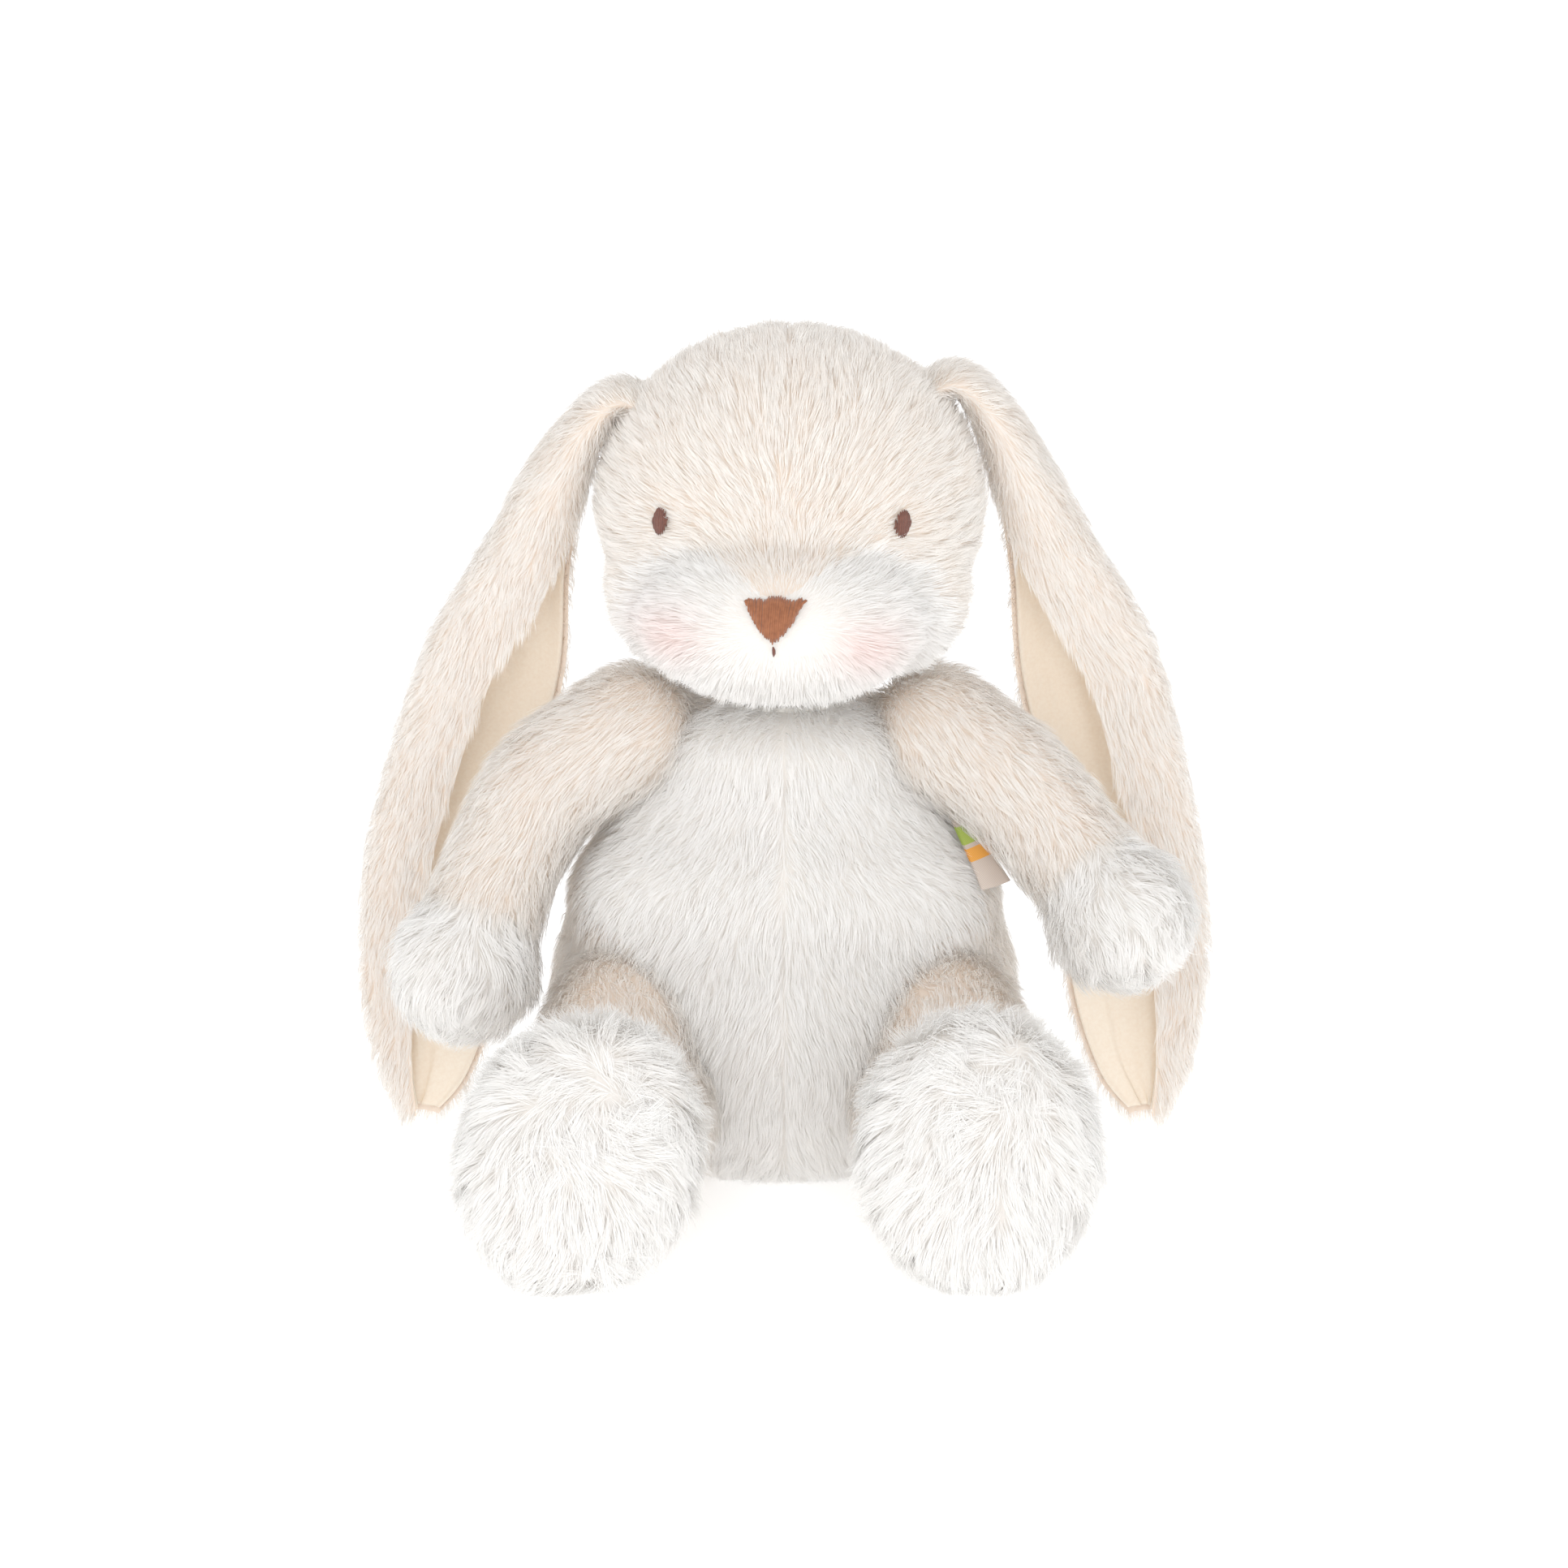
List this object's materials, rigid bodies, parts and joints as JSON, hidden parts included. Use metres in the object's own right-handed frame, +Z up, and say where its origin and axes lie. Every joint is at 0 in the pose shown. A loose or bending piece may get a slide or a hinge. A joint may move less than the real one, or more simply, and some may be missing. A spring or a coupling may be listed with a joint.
{
  "type": "stuffed bunny rabbit",
  "caption": "Seated lop-eared plush rabbit in ivory and white fur, with long hanging ears, embroidered face, soft arms and legs, and shaggy feet.",
  "frame": {"origin": "middle of the flat seat that the toy sits on", "axes": "+Z up, the face looks along -Y, +X towards the toy's left hand"},
  "size_m": [0.3024, 0.2364, 0.2951],
  "materials": {
    "cream_fur": "long pile",
    "white_fur": "long pile",
    "ear_velour": "short velour",
    "fibre_filling": "loose fibre",
    "brown_thread": "satin stitch",
    "sewing_thread": "twisted thread",
    "bag_cloth": "plain weave",
    "plastic_pellets": "loose pellets",
    "woven_ribbon": "woven"
  },
  "bodies": {
    "torso": {"body_back_skin": "cream_fur", "belly_panel_left": "white_fur", "belly_panel_right": "white_fur", "body_stuffing": "fibre_filling", "pellet_bag_top": "bag_cloth", "pellet_bag_base": "bag_cloth", "pellets": "plastic_pellets", "tail_skin": "white_fur", "tail_stuffing": "fibre_filling", "ribbon_label": "woven_ribbon"},
    "neck": {"neck_stuffing": "fibre_filling", "neck_seam": "sewing_thread"},
    "head": {"head_skin_left": "cream_fur", "head_skin_right": "cream_fur", "muzzle_panel": "white_fur", "head_stuffing": "fibre_filling", "nose": "brown_thread", "mouth_stitch": "brown_thread", "eye_left": "brown_thread", "eye_right": "brown_thread"},
    "ear_left": {"ear_left_fur": "cream_fur", "ear_left_lining": "ear_velour"},
    "ear_right": {"ear_right_fur": "cream_fur", "ear_right_lining": "ear_velour"},
    "arm_left": {"arm_left_sleeve": "cream_fur", "paw_left": "white_fur", "arm_left_stuffing": "fibre_filling"},
    "arm_right": {"arm_right_sleeve": "cream_fur", "paw_right": "white_fur", "arm_right_stuffing": "fibre_filling"},
    "leg_left": {"leg_left_skin": "cream_fur", "foot_left": "white_fur", "sole_left": "white_fur", "leg_left_stuffing": "fibre_filling"},
    "leg_right": {"leg_right_skin": "cream_fur", "foot_right": "white_fur", "sole_right": "white_fur", "leg_right_stuffing": "fibre_filling"}
  },
  "joints": [
    {"name": "neck_turn", "type": "hinge", "parent": "torso", "child": "neck", "pos_m": [0, 0.006, 0.166], "axis": [0, 0, 1], "range_deg": [-8, 8]},
    {"name": "head_nod", "type": "hinge", "parent": "neck", "child": "head", "pos_m": [0, 0.006, 0.166], "axis": [1, 0, 0], "range_deg": [-3, 15]},
    {"name": "ear_left_lift", "type": "hinge", "parent": "head", "child": "ear_left", "pos_m": [-0.054, 0.008, 0.28], "axis": [0, 1, 0], "range_deg": [0, 60]},
    {"name": "ear_right_lift", "type": "hinge", "parent": "head", "child": "ear_right", "pos_m": [0.054, 0.008, 0.28], "axis": [0, -1, 0], "range_deg": [0, 60]},
    {"name": "arm_left_swing", "type": "hinge", "parent": "torso", "child": "arm_left", "pos_m": [-0.05, 0, 0.156], "axis": [-0.9063, 0.4226, 0], "range_deg": [0, 70]},
    {"name": "arm_right_swing", "type": "hinge", "parent": "torso", "child": "arm_right", "pos_m": [0.05, 0, 0.156], "axis": [-0.9063, -0.4226, 0], "range_deg": [0, 70]},
    {"name": "leg_left_swing", "type": "hinge", "parent": "torso", "child": "leg_left", "pos_m": [-0.054, -0.022, 0.042], "axis": [1, 0, 0], "range_deg": [-15, 70]},
    {"name": "leg_right_swing", "type": "hinge", "parent": "torso", "child": "leg_right", "pos_m": [0.054, -0.022, 0.042], "axis": [1, 0, 0], "range_deg": [-15, 70]}
  ]
}
